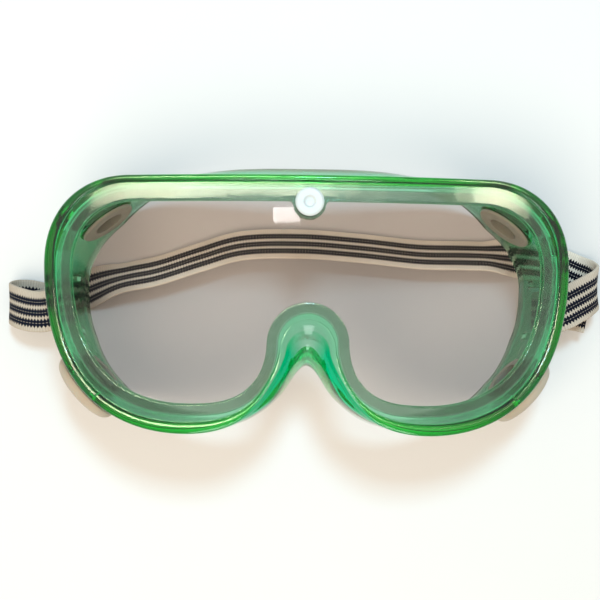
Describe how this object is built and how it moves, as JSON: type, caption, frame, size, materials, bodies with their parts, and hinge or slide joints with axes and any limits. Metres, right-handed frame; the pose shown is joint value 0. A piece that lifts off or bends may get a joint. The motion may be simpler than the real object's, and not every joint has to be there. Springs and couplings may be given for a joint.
{
  "type": "safety goggles",
  "caption": "Chemical-splash safety goggles: soft green frame, clear bent lens pinned by a press-stud, capped indirect vents and a striped elastic headband.",
  "frame": {"origin": "on the table the goggles lie on, under the middle of their box", "axes": "+Z out of the lens, away from the face; +Y towards the brow; +X to the right, along the width"},
  "size_m": [0.2052, 0.0861, 0.0585],
  "materials": {
    "pvc": "soft translucent green vinyl",
    "clear_lens": "clear polycarbonate",
    "stud": "white moulded plastic",
    "vent": "tan moulded plastic",
    "elastic": "woven elastic, navy zigzag stripes"
  },
  "bodies": {
    "root": {"frame": "pvc", "lens": "clear_lens", "headband": "elastic", "lens_stud_socket": "stud", "vent_retainer_upper_right": "vent", "vent_retainer_upper_left": "vent", "vent_retainer_lower_right": "vent", "vent_retainer_lower_left": "vent"},
    "lens_stud": {"lens_stud": "stud"},
    "vent_cap_upper_right": {"vent_cap_upper_right": "vent"},
    "vent_cap_upper_left": {"vent_cap_upper_left": "vent"},
    "vent_cap_lower_right": {"vent_cap_lower_right": "vent"},
    "vent_cap_lower_left": {"vent_cap_lower_left": "vent"}
  },
  "joints": [
    {"name": "lens_stud_pull", "type": "slide", "parent": "root", "child": "lens_stud", "axis": [0, 0, 1], "range_m": [0, 0.008]},
    {"name": "vent_cap_upper_right_pull", "type": "slide", "parent": "root", "child": "vent_cap_upper_right", "axis": [0.6123, 0.7837, -0.1045], "range_m": [0, 0.006]},
    {"name": "vent_cap_upper_left_pull", "type": "slide", "parent": "root", "child": "vent_cap_upper_left", "axis": [-0.6123, 0.7837, -0.1045], "range_m": [0, 0.006]},
    {"name": "vent_cap_lower_right_pull", "type": "slide", "parent": "root", "child": "vent_cap_lower_right", "axis": [0.7594, -0.6486, -0.0523], "range_m": [0, 0.006]},
    {"name": "vent_cap_lower_left_pull", "type": "slide", "parent": "root", "child": "vent_cap_lower_left", "axis": [-0.7594, -0.6486, -0.0523], "range_m": [0, 0.006]}
  ]
}
